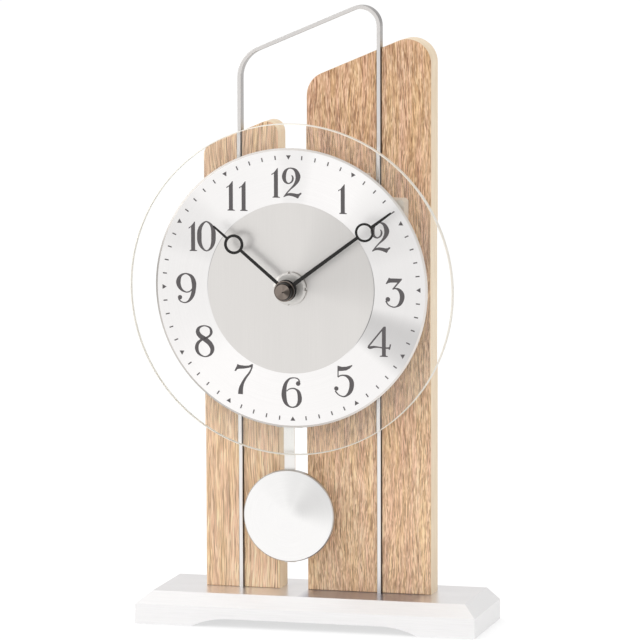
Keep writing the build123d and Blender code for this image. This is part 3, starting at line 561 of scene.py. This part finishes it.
def base_silver():
    """Polished top, satin bevels, front and ends."""
    tree = Finish("base_silver")
    top = tree.span(tree.split(tree.coords["Normal"])[2], 0.96, 0.99)
    line = tree.noise((60, 2600, 2600), 3.0, 0.65)
    broad = tree.noise((30, 60, 60))
    satin = tree.ramp(line, (0.3, srgb(240, 239, 239)), (0.7, srgb(246, 245, 245)))
    polish = tree.ramp(broad, (0.3, srgb(231, 228, 228)), (0.7, srgb(238, 235, 235)))
    # painted reflection: the polish is darker in front of the right board, where the board's dark
    # reflection lies
    place = tree.split(tree.coords["Object"])
    reflection_shade = tree.times(
        tree.span(place[0], panel_low.x - REFLECTION_MARGIN, panel_low.x + REFLECTION_FADE_LEFT),
        tree.span(place[0], panel_high.x - REFLECTION_FADE_RIGHT, panel_high.x, 1.0, 0.0),
    )
    reflection_shade = tree.times(reflection_shade, tree.span(place[1], panel_low.y + REFLECTION_MARGIN, panel_low.y))
    polish = tree.mix(reflection_shade, polish, PAINTED_REFLECTION, "MULTIPLY")
    tree.set(color=tree.mix(top, satin, polish), metal=tree.span(top, 0, 1, 0.15, 0.8))
    tree.set(coat=0.3, coat_rough=0.05)
    tree.set(rough=tree.plus(tree.span(top, 0, 1, 0.34, 0.27), tree.times(line, 0.06)))
    return tree.material


def clear_glass():
    """Clear glass with a pale ground rim, which lets the lamps through to what is behind it."""
    tree = Finish("clear_glass")
    rim = tree.span(tree.front(), 0.90, 0.98, 1.0, 0.0)
    grain = tree.noise((900, 900, 900))
    frost = tree.ramp(grain, (0.3, srgb(243, 239, 229)), (0.7, srgb(252, 248, 238)))
    tree.set(color=tree.mix(rim, (0.99, 0.995, 0.99), frost), ior=1.46)
    tree.set(through=tree.span(rim, 0, 1, 1.0, 0.2))
    tree.set(rough=tree.times(rim, tree.span(grain, 0.3, 0.7, 0.35, 0.5)))
    shadow = tree.new("LightPath").outputs["Is Shadow Ray"]
    tree.show(shadow, tree.shader, tree.new("BsdfTransparent"))
    return tree.material


dress(base_silver(), "base")
dress(clear_glass(), "glass_disc")

# Paint, plastic and rubber
hand_black = speckled("hand_black", (0.012, 0.011, 0.010), 0.5, amount=0.3, spec=0.3)
plate_white = speckled("plate_white", srgb(228, 218, 204), 0.6, size=500.0)
hanger_plastic = speckled("hanger_plastic", srgb(216, 213, 210), 0.45)
wheel_plastic = speckled("wheel_plastic", (0.78, 0.76, 0.68), 0.32)
knob_plastic = speckled("knob_plastic", (0.02, 0.02, 0.02), 0.4, amount=0.2)
seal_rubber = speckled("seal_rubber", (0.02, 0.02, 0.02), 0.8, amount=0.2)
case_plastic = speckled(
    "case_plastic", (0.022, 0.022, 0.023), 0.55, amount=0.2, size=1400.0, bump=0.3
)
dress(hand_black, "hour_hand", "minute_hand")
dress(plate_white, "mounting_plate", "upper_spacer")
dress(hanger_plastic, "pendulum_hanger", "bob_clip")
dress(wheel_plastic, "hour_wheel", "minute_wheel")
dress(knob_plastic, "set_knob")
dress(seal_rubber, "shaft_seal")
dress(case_plastic, "case_front", "case_back", "drive_unit")

WIRE_PITCH = 0.22 * MM
COPPER_DARK = (0.30, 0.09, 0.035)
COPPER_LIGHT = (0.72, 0.30, 0.13)


def winding(name, axis):
    """Enamelled copper wire, laid turn by turn along x, y or z, as axis is 0, 1 or 2."""
    tree = Finish(name)
    along = tree.split(tree.coords["Object"])[axis]
    wave = tree.math("SINE", tree.times(along, 2 * math.pi / WIRE_PITCH))
    shade = tree.plus(tree.times(wave, 0.25), tree.noise((700, 700, 700)))
    copper = tree.ramp(shade, (0.2, COPPER_DARK), (0.8, COPPER_LIGHT))
    tree.set(color=copper, metal=0.8, coat=0.5)
    tree.set(rough=tree.span(shade, 0.2, 0.8, 0.35, 0.25))
    tree.bump(wave, 0.4, 0.1 * MM)
    return tree.material


dress(winding("coil_copper", 2), "drive_coil")
dress(winding("coil_flat", 1), "pendulum_coil")


def board_green():
    """Solder mask over faint tracks."""
    tree = Finish("board_green")
    brick = tree.new("TexBrick")
    tree.put(brick.inputs["Vector"], tree.scaled((260, 1, 260), (math.pi / 2, 0, 0)))
    brick.inputs["Mortar Size"].default_value = 0.05
    brick.inputs["Color1"].default_value = (0.025, 0.13, 0.06, 1)
    brick.inputs["Color2"].default_value = (0.03, 0.15, 0.07, 1)
    brick.inputs["Mortar"].default_value = (0.06, 0.24, 0.11, 1)
    grain = tree.noise((500, 500, 500))
    mottle = tree.ramp(grain, (0.3, (0.02, 0.10, 0.05)), (0.7, (0.05, 0.19, 0.09)))
    tree.set(color=tree.mix(0.25, brick.outputs["Color"], mottle), coat=0.3)
    tree.set(rough=tree.span(grain, 0.3, 0.7, 0.35, 0.5))
    return tree.material


CELL_METAL = (0.62, 0.61, 0.58)
CELL_SLEEVE = (0.018, 0.02, 0.024)
CELL_COPPER = (0.58, 0.30, 0.13)
CELL_WORN = (0.5, 0.5, 0.5)
CELL_BAND_SHARES = (
    (0.0, 0.022, CELL_METAL),
    (0.024, 0.70, CELL_SLEEVE),
    (0.702, 0.955, CELL_COPPER),
    (0.957, 1.0, CELL_METAL),
)


def battery_shell():
    """Gloss sleeve with a copper band and bare metal ends."""
    tree = Finish("battery_shell")
    along = tree.split(tree.coords["Object"])[0]
    share = tree.span(along, battery_low.x, battery_high.x)
    grain = tree.noise((200, 900, 900))
    stops = [(at, colour) for start, end, colour in CELL_BAND_SHARES for at in (start, end)]
    sleeve = tree.ramp(share, *stops)
    worn = tree.span(grain, 0.3, 0.7, 0.0, 0.10)
    tree.set(color=tree.mix(worn, sleeve, CELL_WORN), coat=0.6)
    tree.set(metal=tree.span(share, 0.68, 0.72, 0.2, 0.9))
    tree.set(rough=tree.span(grain, 0.3, 0.7, 0.22, 0.34))
    return tree.material


dress(board_green(), "circuit_board", "pendulum_board")
dress(battery_shell(), "battery")


# Dial printing: upright serif numerals, minute bars and hour triangles, raised like thick ink.
# Its sizes are in millimetres from the dial's centre
DIAL_TURN = math.radians(0.8)
INK_HEIGHT = 0.06 * MM
INK_STEP = 0.0004 * MM
CURVE_STEPS = 8
BALL_SIDES = 28
NUMERAL_REACH = 57
MARK_REACH = 71.2
BAR_FOOT = 69.0
BAR_HALF_WIDTH = 0.33
POINT_REACH = 68.9
POINT_HALF_WIDTH = 1.35
BAR_CORNERS = (
    (BAR_FOOT, -BAR_HALF_WIDTH),
    (MARK_REACH, -BAR_HALF_WIDTH),
    (MARK_REACH, BAR_HALF_WIDTH),
    (BAR_FOOT, BAR_HALF_WIDTH),
)
POINT_CORNERS = (
    (POINT_REACH, 0.0), (MARK_REACH, POINT_HALF_WIDTH), (MARK_REACH, -POINT_HALF_WIDTH)
)

# Digits of each numeral, with how far each stands to the right of the numeral's place and above it
NUMERALS = {hour: [(str(hour), 0.0, 0.0)] for hour in range(1, 10)}
NUMERALS[2] = [("2", -1.0, 0.0)]
NUMERALS[10] = [("1", -5.2, 0.0), ("0", 0.0, 0.0)]
NUMERALS[11] = [("1", -4.65, 1.1), ("1", 2.4, 1.1)]
NUMERALS[12] = [("1", -8.1, 0.6), ("2", 0.2, 0.0)]

# Drawing of each digit. A stroke says whether it closes and gives its points as x, z and width,
# a shape is a filled outline, and a ball is its x, z and radius
GLYPHS = {
    "0": {
        "strokes": [
            (True, [
                (3.25, 6.8, 0.7), (5.9, 5, 1.5), (7.05, 2, 2.4), (7.15, -1, 2.5),
                (6.95, -4.25, 2.3), (5.7, -7.25, 1.4), (3.25, -8.9, 0.65), (0.8, -7.25, 1.4),
                (-0.55, -4.25, 2.3), (-0.7, -1, 2.5), (-0.55, 2, 2.3), (0.75, 5, 1.5),
            ]),
        ],
    },
    "1": {
        "shapes": [
            [
                (-1.6, 3.1), (-1.2, 3.65), (-0.3, 4.1), (0.8, 5.4), (1.6, 6.5), (2.1, 6.7),
                (2.1, -8.4), (2.4, -8.6), (3.2, -8.8), (3.2, -9.2), (-0.9, -9.2), (-0.9, -8.8),
                (-0.4, -8.6), (-0.1, -8.4), (-0.1, 3.55), (-0.6, 3.45), (-1.15, 2.85),
            ],
        ],
    },
    "2": {
        "strokes": [
            (False, [
                (1.4, 3.6, 0.5), (2.05, 2.15, 1), (1.5, 0.25, 0.9), (-0.35, -0.85, 0.7),
                (-2.2, 0.25, 1.5), (-2.85, 2.75, 2.2), (-2.15, 5.5, 1.7), (-0.5, 7.1, 0.75),
                (1.3, 7.3, 0.75), (3.5, 6.25, 1.7), (4.8, 3.5, 2.7), (4.5, 1, 2.3),
                (3, -1.5, 1.4), (0.75, -3.75, 0.8), (-1.25, -5.9, 0.65), (-2.9, -8, 0.6),
            ]),
        ],
        "shapes": [
            [
                (-3.3, -8.2), (-2.5, -7), (-1.25, -6.25), (0.5, -5.85), (2.5, -6), (4.25, -6.3),
                (5.25, -6.2), (6.1, -5.65), (6.85, -5.7), (6.65, -6.45), (5.8, -7.15), (5.35, -8),
                (4.8, -8.8), (3.25, -8.1), (1.75, -7.6), (0, -7.35), (-1.5, -7.55), (-2.6, -8.1),
            ],
        ],
    },
    "3": {
        "strokes": [
            (False, [
                (-1.05, 0.35, 0.6), (0.5, 0.8, 0.7), (2.5, 0.1, 1.6), (4, -2, 2.5),
                (4.15, -4.6, 2.5), (3, -7.4, 1.8), (1, -8.9, 0.8), (-1, -9.1, 0.65),
                (-3.4, -8, 0.7), (-4.7, -5.9, 0.8),
            ]),
            (False, [
                (3.8, 5.85, 0.9), (-0.9, 0.3, 0.75),
            ]),
        ],
        "shapes": [
            [
                (-3, 6.5), (-2.35, 6.15), (4.3, 6.15), (2.5, 4), (-2, 3.9), (-3.35, 3.6),
                (-4.1, 3), (-4.8, 3.2),
            ],
        ],
        "balls": [(-3.6, -5.1, 1.25)],
    },
    "4": {
        "strokes": [
            (False, [
                (1.6, 8.6, 0.8), (-7.1, -2.1, 0.85),
            ]),
            (False, [
                (-7.4, -2.25, 0.9), (-6.2, -2.6, 1.5), (-4, -2.2, 1.2), (-1.5, -2.25, 0.7),
                (1.5, -2.6, 0.8), (4.3, -2.5, 0.85),
            ]),
            (False, [
                (5.05, -0.5, 0.7), (4.4, -3.4, 0.8),
            ]),
        ],
        "shapes": [
            [
                (2.2, 9), (2.5, 8.4), (2.5, -6.5), (2.8, -6.7), (3.6, -6.9), (3.6, -7.35),
                (-0.8, -7.35), (-0.8, -6.9), (0.1, -6.7), (0.4, -6.5), (0.4, 7.6), (1.5, 8.8),
            ],
        ],
    },
    "5": {
        "strokes": [
            (False, [
                (-3.15, 8, 0.65), (-3.2, 2.1, 0.6),
            ]),
            (False, [
                (-3.15, 2.1, 0.6), (-2, 2.9, 0.7), (0, 3.2, 0.8), (2.4, 2.4, 1.7),
                (4.1, 0.25, 2.4), (4.3, -2.6, 2.5), (3.4, -5.5, 2.1), (1.5, -7.65, 1.1),
                (-0.5, -8.25, 0.7), (-3, -7.25, 0.65), (-4.7, -5.4, 0.8),
            ]),
        ],
        "shapes": [
            [
                (-3.4, 8.25), (-1, 7.7), (1.5, 7.9), (3.75, 8.65), (4.55, 9), (4.65, 8.35),
                (3.25, 6.9), (1.5, 5.9), (-1, 5.5), (-3.3, 5.4),
            ],
        ],
        "balls": [(-4.15, -4.05, 1.2)],
    },
    "6": {
        "strokes": [
            (False, [
                (4.05, 6.75, 0.8), (3.15, 8.4, 0.7), (1.2, 8.95, 0.6), (-1.5, 8.4, 0.9),
                (-3.65, 5.75, 1.8), (-4.55, 2, 2.5), (-4.6, -1.25, 2.7), (-3.75, -4.5, 2),
                (-2, -6.4, 1), (0, -6.95, 0.7), (2.25, -6.25, 1.1), (3.8, -4, 2.1),
                (4.05, -1.5, 2.3), (3.45, 1.25, 1.8), (2, 2.8, 0.9), (0.15, 3.25, 0.7),
                (-1.9, 2.7, 0.6), (-3.2, 1.6, 0.5),
            ]),
        ],
        "balls": [(3.2, 5.95, 1.25)],
    },
    "7": {
        "strokes": [
            (False, [
                (6.45, 8, 0.7), (6, 6, 0.8), (4.65, 3.4, 1), (2.7, 0.85, 1.2),
                (1.05, -2.1, 1.6), (0.05, -5.1, 2.4), (-0.2, -8.05, 2.7),
            ]),
        ],
        "shapes": [
            [
                (-1.85, 8.15), (-0.75, 7.7), (2, 7.4), (4.5, 7.55), (6.2, 8.4), (6.8, 8.3),
                (6.75, 7.4), (5.75, 6.6), (3.5, 6.1), (1.25, 5.7), (-0.75, 5.6), (-1.85, 5.4),
                (-2.7, 4.3), (-3.45, 4.45), (-3.2, 5.2), (-2.3, 6.9),
            ],
        ],
    },
    "8": {
        "strokes": [
            (True, [
                (4.85, 4.5, 1.5), (4, 6.7, 1), (1.1, 7.65, 0.65), (-1.75, 6.7, 1.3),
                (-2.7, 4.5, 2.2), (-1.5, 2.25, 2.5), (1.5, 0.25, 2.7), (4.25, -2.1, 2.6),
                (5.4, -4.9, 2.3), (4.25, -7.75, 1.3), (1.25, -9, 0.65), (-2, -7.6, 1.3),
                (-3.3, -4.75, 2), (-2.6, -1.75, 1.7), (-0.25, 0.2, 1.2), (2.5, 1.4, 1.1),
                (4.25, 2.75, 1.2),
            ]),
        ],
    },
    "9": {
        "strokes": [
            (False, [
                (2.4, -1, 0.6), (1, -2.4, 0.7), (-1.1, -2.8, 0.7), (-3.6, -1.5, 1.4),
                (-5.1, 1, 2.3), (-5.2, 3.5, 2.4), (-3.9, 6, 1.4), (-1.1, 7.15, 0.7),
                (1.9, 5.8, 1.7), (3.2, 3, 2.5), (3.4, -0.25, 2.3), (2.55, -4.4, 2.1),
                (0.6, -7.4, 1.2), (-1.7, -8.5, 0.65), (-4.1, -7.85, 0.7), (-5.25, -6.25, 0.9),
            ]),
        ],
        "balls": [(-4.45, -5.7, 1.2)],
    },
}


def curve(points, closed):
    """Catmull-Rom samples through points of any number of parts."""
    count = len(points)
    samples = []
    for i in range(count if closed else count - 1):
        if closed:
            near = [points[(i + k) % count] for k in (-1, 0, 1, 2)]
        else:
            near = [points[min(max(i + k, 0), count - 1)] for k in (-1, 0, 1, 2)]
        for step in range(CURVE_STEPS):
            u = step / CURVE_STEPS
            samples.append(tuple(
                0.5 * (
                    2 * b + (c - a) * u
                    + (2 * a - 5 * b + 4 * c - d) * u * u
                    + (3 * b - a - 3 * c + d) * u ** 3
                )
                for a, b, c, d in zip(*near)
            ))
    if not closed:
        samples.append(tuple(points[-1]))
    return samples


def ribbon(points, closed):
    """Left and right outline of a stroke whose points are x, z and width."""
    line = curve(points, closed)
    count = len(line)
    left, right = [], []
    for i, (x, z, width) in enumerate(line):
        before = line[(i - 1) % count] if closed or i else line[0]
        after = line[(i + 1) % count] if closed or i < count - 1 else line[-1]
        run_x, run_z = after[0] - before[0], after[1] - before[1]
        run = math.hypot(run_x, run_z) or 1.0
        aside_x, aside_z = -run_z / run * width / 2, run_x / run * width / 2
        left.append((x + aside_x, z + aside_z))
        right.append((x - aside_x, z - aside_z))
    return left, right


def make_piece(name, shell, material):
    """An object made of a bmesh shell, with its normals set outwards."""
    bmesh.ops.recalc_face_normals(shell, faces=shell.faces)
    mesh = bpy.data.meshes.new(name)
    shell.to_mesh(mesh)
    shell.free()
    mesh.materials.append(material)
    return add_object(name, mesh)


ink = speckled("dial_ink", srgb(86, 82, 83), 0.6, amount=0.12, size=2500.0)


class Print:
    """A mesh of thin raised shapes on the dial, all turned about its centre."""

    def __init__(self, name, turn=0.0):
        self.name = name
        self.shell = bmesh.new()
        self.turn = turn
        self.level = 0

    def vertex(self, x, z, height):
        cosine, sine = math.cos(self.turn), math.sin(self.turn)
        across = (cosine * x - sine * z) * MM
        up = (sine * x + cosine * z) * MM
        return self.shell.verts.new((DIAL_X + across, DIAL_FRONT - height, DIAL_Z + up))

    def next_height(self):
        """Each shape is a trace higher than the one before, so that no two tops coincide."""
        self.level += 1
        return INK_HEIGHT + self.level * INK_STEP

    def shape(self, points):
        """A closed outline, filled and given sides."""
        pairs = zip(points, points[1:] + points[:1])
        if sum(a[0] * b[1] - b[0] * a[1] for a, b in pairs) < 0:
            points = points[::-1]
        height = self.next_height()
        top = [self.vertex(x, z, height) for x, z in points]
        foot = [self.vertex(x, z, 0.0) for x, z in points]
        for corners in tessellate_polygon([[Vector((x, z, 0.0)) for x, z in points]]):
            self.shell.faces.new([top[k] for k in corners])
        for i in range(len(points)):
            j = (i + 1) % len(points)
            self.shell.faces.new((top[i], foot[i], foot[j], top[j]))

    def stroke(self, points, closed):
        """A line of changing width; it climbs along its length, so that it can cross itself."""
        left, right = ribbon(points, closed)
        count = len(left)
        low, high = self.next_height(), self.next_height()
        climb = [low + (high - low) * i / count for i in range(count)]
        left_top = [self.vertex(x, z, height) for (x, z), height in zip(left, climb)]
        right_top = [self.vertex(x, z, height) for (x, z), height in zip(right, climb)]
        left_foot = [self.vertex(x, z, 0.0) for x, z in left]
        right_foot = [self.vertex(x, z, 0.0) for x, z in right]
        for i in range(count if closed else count - 1):
            j = (i + 1) % count
            self.shell.faces.new((left_top[i], right_top[i], right_top[j], left_top[j]))
            self.shell.faces.new((left_top[i], left_top[j], left_foot[j], left_foot[i]))
            self.shell.faces.new((right_top[j], right_top[i], right_foot[i], right_foot[j]))
        if not closed:
            self.shell.faces.new((left_top[0], left_foot[0], right_foot[0], right_top[0]))
            self.shell.faces.new((right_top[-1], right_foot[-1], left_foot[-1], left_top[-1]))

    def ball(self, x, z, radius):
        angles = [2 * math.pi * k / BALL_SIDES for k in range(BALL_SIDES)]
        self.shape([(x + radius * math.cos(a), z + radius * math.sin(a)) for a in angles])

    def done(self):
        piece = make_piece(self.name, self.shell, ink)
        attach(piece, "stand")


def print_numeral(hour, digits):
    """One upright numeral at its hour."""
    angle = math.radians(30 * hour) - DIAL_TURN
    numeral = Print("numeral_%02d" % hour)
    for digit, shift, rise in digits:
        place_x = NUMERAL_REACH * math.sin(angle) + shift
        place_z = NUMERAL_REACH * math.cos(angle) + rise
        glyph = GLYPHS[digit]
        for closed, points in glyph.get("strokes", ()):
            line = [(place_x + x, place_z + z, width) for x, z, width in points]
            numeral.stroke(line, closed)
        for points in glyph.get("shapes", ()):
            numeral.shape([(place_x + x, place_z + z) for x, z in points])
        for x, z, radius in glyph.get("balls", ()):
            numeral.ball(place_x + x, place_z + z, radius)
    numeral.done()


def at_minute(minute, corners):
    """Corners given as reach from the dial's centre and side step, turned to a minute."""
    angle = math.radians(6 * minute)
    sine, cosine = math.sin(angle), math.cos(angle)
    return [
        (reach * sine + side * cosine, reach * cosine - side * sine) for reach, side in corners
    ]


for hour, digits in NUMERALS.items():
    print_numeral(hour, digits)
bars = Print("minute_bars", DIAL_TURN)
marks = Print("hour_marks", DIAL_TURN)
for minute in range(60):
    if minute % 5:
        bars.shape(at_minute(minute, BAR_CORNERS))
    else:
        marks.shape(at_minute(minute, POINT_CORNERS))
bars.done()
marks.done()

# Film that bonds the dial to the glass: a ring a trace behind the dial's back
FILM_INNER = 6.0 * MM
FILM_OUTER = 74.9 * MM
FILM_GAP = 0.03 * MM
FILM_THICKNESS = 0.04 * MM
FILM_SIDES = 120


def film():
    """Pale from behind, where it shows through the glass."""
    front = DIAL_BACK + FILM_GAP
    back = front + FILM_THICKNESS
    section = ((FILM_INNER, front), (FILM_OUTER, front), (FILM_OUTER, back), (FILM_INNER, back))
    shell = bmesh.new()
    rows = []
    for k in range(FILM_SIDES):
        angle = 2 * math.pi * k / FILM_SIDES
        rows.append([
            shell.verts.new((DIAL_X + r * math.cos(angle), y, DIAL_Z + r * math.sin(angle)))
            for r, y in section
        ])
    for here, after in zip(rows, rows[1:] + rows[:1]):
        for i in range(len(section)):
            j = (i + 1) % len(section)
            shell.faces.new((here[i], here[j], after[j], after[i]))
    pale = speckled("dial_film", srgb(232, 230, 228), 0.6, size=500.0)
    piece = make_piece("dial_film", shell, pale)
    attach(piece, "stand")


film()

# Floor, world and lamps. The floor glows for the camera, with a shade near what stands on it, and
# the room is bright on the left and dimmer on the right
FLOOR_CORNERS = ((-12, -8, 0), (12, -8, 0), (12, 16, 0), (-12, 16, 0))
FLOOR_GREY = (0.86, 0.86, 0.86, 1)
WHITE = (1, 1, 1, 1)
GLOW = 1.12
GLOW_SHARE = 0.80
NEAR_SHADE = 0.32
NEAR_REACH = 20 * MM
NEAR_SAMPLES = 8
ROOM_LEFT = 0.88
ROOM_RIGHT = 0.5
ROOM_GAIN = 1.05


def floor():
    """A pale floor that rays from the camera and from gloss see white, with shadows on it."""
    tree = Finish("floor_white")
    path = tree.new("LightPath").outputs
    seen = tree.math("MAXIMUM", path["Is Camera Ray"], path["Is Glossy Ray"])
    seen = tree.math("MAXIMUM", seen, path["Is Transmission Ray"])
    lit = tree.new("BsdfDiffuse")
    lit.inputs["Color"].default_value = FLOOR_GREY
    glow = tree.new("Emission")
    glow.inputs["Color"].default_value = WHITE
    near = tree.new("AmbientOcclusion")
    near.samples = NEAR_SAMPLES
    near.inputs["Distance"].default_value = NEAR_REACH
    # only the camera sees the floor darken where the base stands near it
    shade = tree.span(near.outputs["AO"], 0.0, 0.9, NEAR_SHADE, 0.0)
    shade = tree.times(shade, path["Is Camera Ray"])
    tree.put(glow.inputs["Strength"], tree.minus(GLOW, shade))
    tree.show(tree.times(seen, GLOW_SHARE), lit, glow)
    mesh = bpy.data.meshes.new("floor")
    mesh.from_pydata(FLOOR_CORNERS, [], [(0, 1, 2, 3)])
    mesh.materials.append(tree.material)
    add_object("floor", mesh)


def world():
    """A white backdrop; light and gloss come from a pale room, dimmer to the right."""
    studio = bpy.data.worlds.new("studio")
    bpy.context.scene.world = studio
    tree = Tree(studio)
    path = tree.new("LightPath").outputs
    seen = tree.math("MAXIMUM", path["Is Camera Ray"], path["Is Transmission Ray"])
    across = tree.split(tree.coords["Generated"])[0]
    room = tree.span(across, -0.2, 0.9, ROOM_LEFT, ROOM_RIGHT, smooth=True)
    light = tree.choose(path["Is Glossy Ray"], tree.times(room, ROOM_GAIN), room)
    back = tree.nodes["Background"]
    back.inputs["Color"].default_value = WHITE
    tree.put(back.inputs["Strength"], tree.choose(seen, light, 1.0))


def lamp(name, place, aim, size, power):
    """A rectangular soft lamp that looks from its place towards its aim."""
    light = bpy.data.lights.new(name, "AREA")
    light.shape = "RECTANGLE"
    light.size, light.size_y = size
    light.energy = power
    hung = add_object(name, light)
    hung.location = place
    hung.rotation_euler = (Vector(aim) - Vector(place)).to_track_quat("-Z", "Y").to_euler()


floor()
world()
lamp("key", place=(-1.35, -0.85, 0.75), aim=(0, 0, 0.12), size=(0.9, 0.9), power=6.5)
lamp("fill", place=(1.6, -0.9, 0.6), aim=(0, 0, 0.12), size=(1.2, 1.2), power=5)
lamp("top", place=(-0.1, -0.6, 2.2), aim=(0, 0, 0.1), size=(1.8, 1.2), power=6)

bpy.context.scene.view_settings.view_transform = "Standard"
